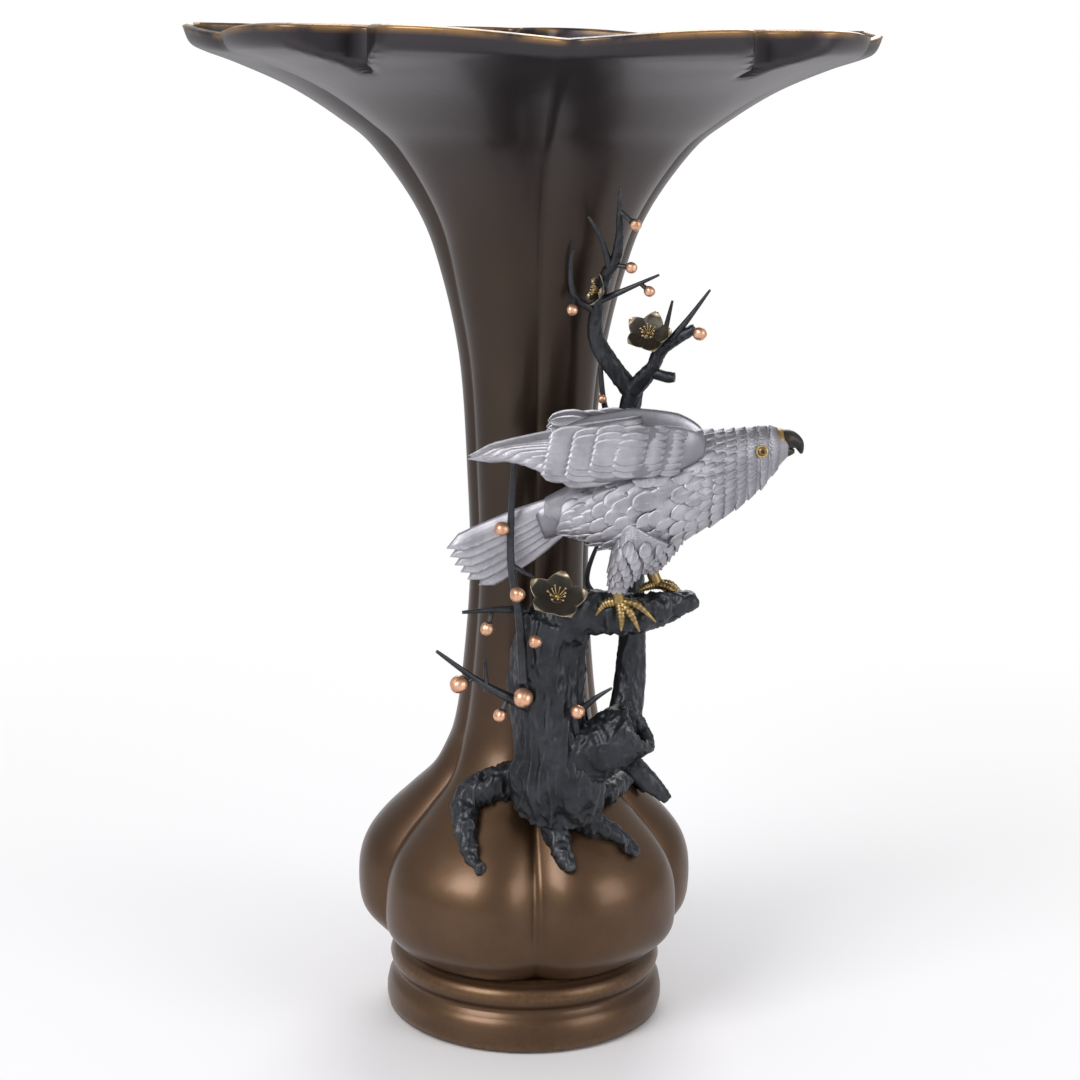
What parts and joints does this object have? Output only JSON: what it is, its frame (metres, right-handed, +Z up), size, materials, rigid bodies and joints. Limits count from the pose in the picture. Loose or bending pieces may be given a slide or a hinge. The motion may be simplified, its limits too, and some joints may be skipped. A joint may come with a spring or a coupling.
{
  "type": "bronze flower vase",
  "caption": "Lobed bronze flower vase on a moulded foot ring, with a wide petal-shaped mouth, a cast plum tree in high relief and a silvered hawk on its perch.",
  "frame": {"origin": "centre of the foot ring on the surface that the vase stands on", "axes": "+Z up along the vase, -Y towards the front with the tree and hawk, +X the way the hawk looks"},
  "size_m": [0.3079, 0.3045, 0.4576],
  "materials": {
    "brown_bronze": "brown patinated bronze, waxed",
    "dark_bronze": "black patinated bronze, rubbed edges",
    "silvered": "silvered bronze, engraved",
    "copper": "polished copper",
    "gilt": "worn gilding",
    "black_lacquer": "black patina"
  },
  "bodies": {
    "root": {"base_plate": "brown_bronze", "beak": "black_lacquer", "body_shell": "brown_bronze", "bough_stub": "dark_bronze", "broken_stump": "dark_bronze", "bud_01": "copper", "bud_02": "copper", "bud_03": "copper", "bud_04": "copper", "bud_05": "copper", "bud_06": "copper", "bud_07": "copper", "bud_08": "copper", "bud_09": "copper", "bud_10": "copper", "bud_11": "copper", "bud_12": "copper", "bud_13": "copper", "bud_14": "copper", "crossing_thorn": "dark_bronze", "curved_twig": "dark_bronze", "diagonal_twig": "dark_bronze", "eye_left": "gilt", "eye_right": "gilt", "fixing_pin_lower": "brown_bronze", "fixing_pin_upper": "brown_bronze", "foot_left": "gilt", "foot_right": "gilt", "foot_ring": "brown_bronze", "front_blossom_petals": "dark_bronze", "front_blossom_stamens": "gilt", "front_twig": "dark_bronze", "front_twig_thorn": "dark_bronze", "hawk_body": "silvered", "inner_thorn": "dark_bronze", "left_blossom_petals": "dark_bronze", "left_blossom_stamens": "gilt", "left_bough": "dark_bronze", "left_thorn": "dark_bronze", "mouth": "brown_bronze", "neck": "brown_bronze", "outer_thorn": "dark_bronze", "rear_branch": "dark_bronze", "rear_thorn": "dark_bronze", "rear_twig": "dark_bronze", "right_blossom_petals": "dark_bronze", "right_blossom_stamens": "gilt", "right_bough": "dark_bronze", "right_thorn": "dark_bronze", "small_twig": "dark_bronze", "stump_root": "dark_bronze", "tail": "silvered", "trunk": "dark_bronze", "upper_left_thorn": "dark_bronze", "wing_left": "silvered", "wing_right": "silvered"}
  },
  "joints": []
}
